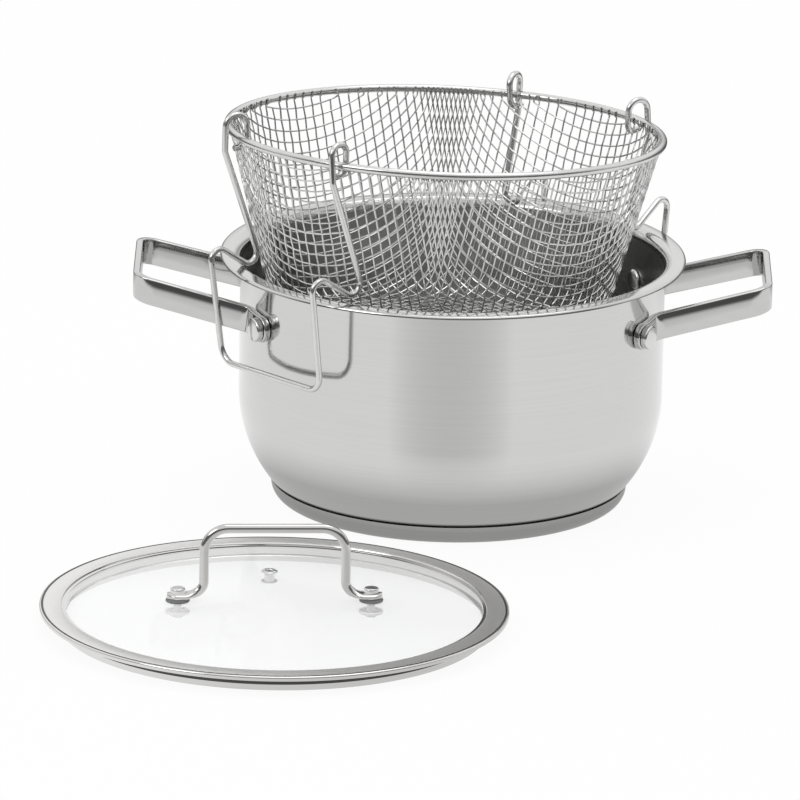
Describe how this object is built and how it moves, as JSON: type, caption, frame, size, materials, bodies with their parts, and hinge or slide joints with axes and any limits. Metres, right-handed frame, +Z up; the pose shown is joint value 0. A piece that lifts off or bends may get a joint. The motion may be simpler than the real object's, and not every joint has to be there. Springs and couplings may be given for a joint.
{
  "type": "deep fryer pot",
  "caption": "Steel frying pot with strap handles, a wire mesh basket hung over its rim on hooked wire bails, and a glass lid with a rod handle lying beside it.",
  "frame": {"origin": "centre of the underside of the pot's base, on the table", "axes": "+Z up along the pot's axis, X through both pot handles, the lid lies at -Y and -X, towards the camera"},
  "size_m": [0.4014, 0.5148, 0.2335],
  "materials": {
    "pot_steel": "polished stainless steel, satin outside",
    "base_steel": "satin stainless steel",
    "core_aluminium": "plain, enclosed",
    "handle_steel": "satin faces with polished bevels",
    "rivet_steel": "polished",
    "wire_steel": "bright drawn wire",
    "lid_steel": "polished",
    "lid_glass": "clear tempered glass",
    "grommet": "matt grey silicone"
  },
  "bodies": {
    "pot": {"pot_body": "pot_steel", "base_core": "core_aluminium", "base_capsule": "base_steel", "pot_handle_left": "handle_steel", "pot_handle_right": "handle_steel", "handle_rivet_left_front": "rivet_steel", "handle_rivet_left_rear": "rivet_steel", "handle_rivet_right_front": "rivet_steel", "handle_rivet_right_rear": "rivet_steel"},
    "basket": {"basket_net": "wire_steel", "basket_rim": "wire_steel"},
    "front_bail": {"bail_front": "wire_steel"},
    "rear_bail": {"bail_rear": "wire_steel"},
    "lid": {"lid_glass": "lid_glass", "lid_hoop": "lid_steel", "lid_handle": "lid_steel", "lid_screw_left": "rivet_steel", "lid_screw_right": "rivet_steel", "lid_grommet_left": "grommet", "lid_grommet_right": "grommet", "lid_washer_left": "rivet_steel", "lid_washer_right": "rivet_steel", "vent_eyelet": "rivet_steel"}
  },
  "joints": [
    {"name": "basket_lift", "type": "slide", "parent": "pot", "child": "basket", "axis": [0, 0, 1], "range_m": [0, 0.2]},
    {"name": "front_bail_swing", "type": "hinge", "parent": "basket", "child": "front_bail", "pos_m": [-0.09324, -0.07092, 0.21856], "axis": [-0.6297, 0.7762, -0.0315], "range_deg": [0, 30]},
    {"name": "rear_bail_swing", "type": "hinge", "parent": "basket", "child": "rear_bail", "pos_m": [0.06855, 0.08507, 0.20532], "axis": [0.755, -0.6554, 0.0212], "range_deg": [0, 30]},
    {"name": "lid_lift", "type": "slide", "parent": "pot", "child": "lid", "axis": [0, 0, 1], "range_m": [0, 0.25]}
  ],
  "couplings": [
    {"joint": "front_bail_swing", "follows": "basket_lift", "rad_per_m": 2.6},
    {"joint": "rear_bail_swing", "follows": "basket_lift", "rad_per_m": 2.6}
  ]
}
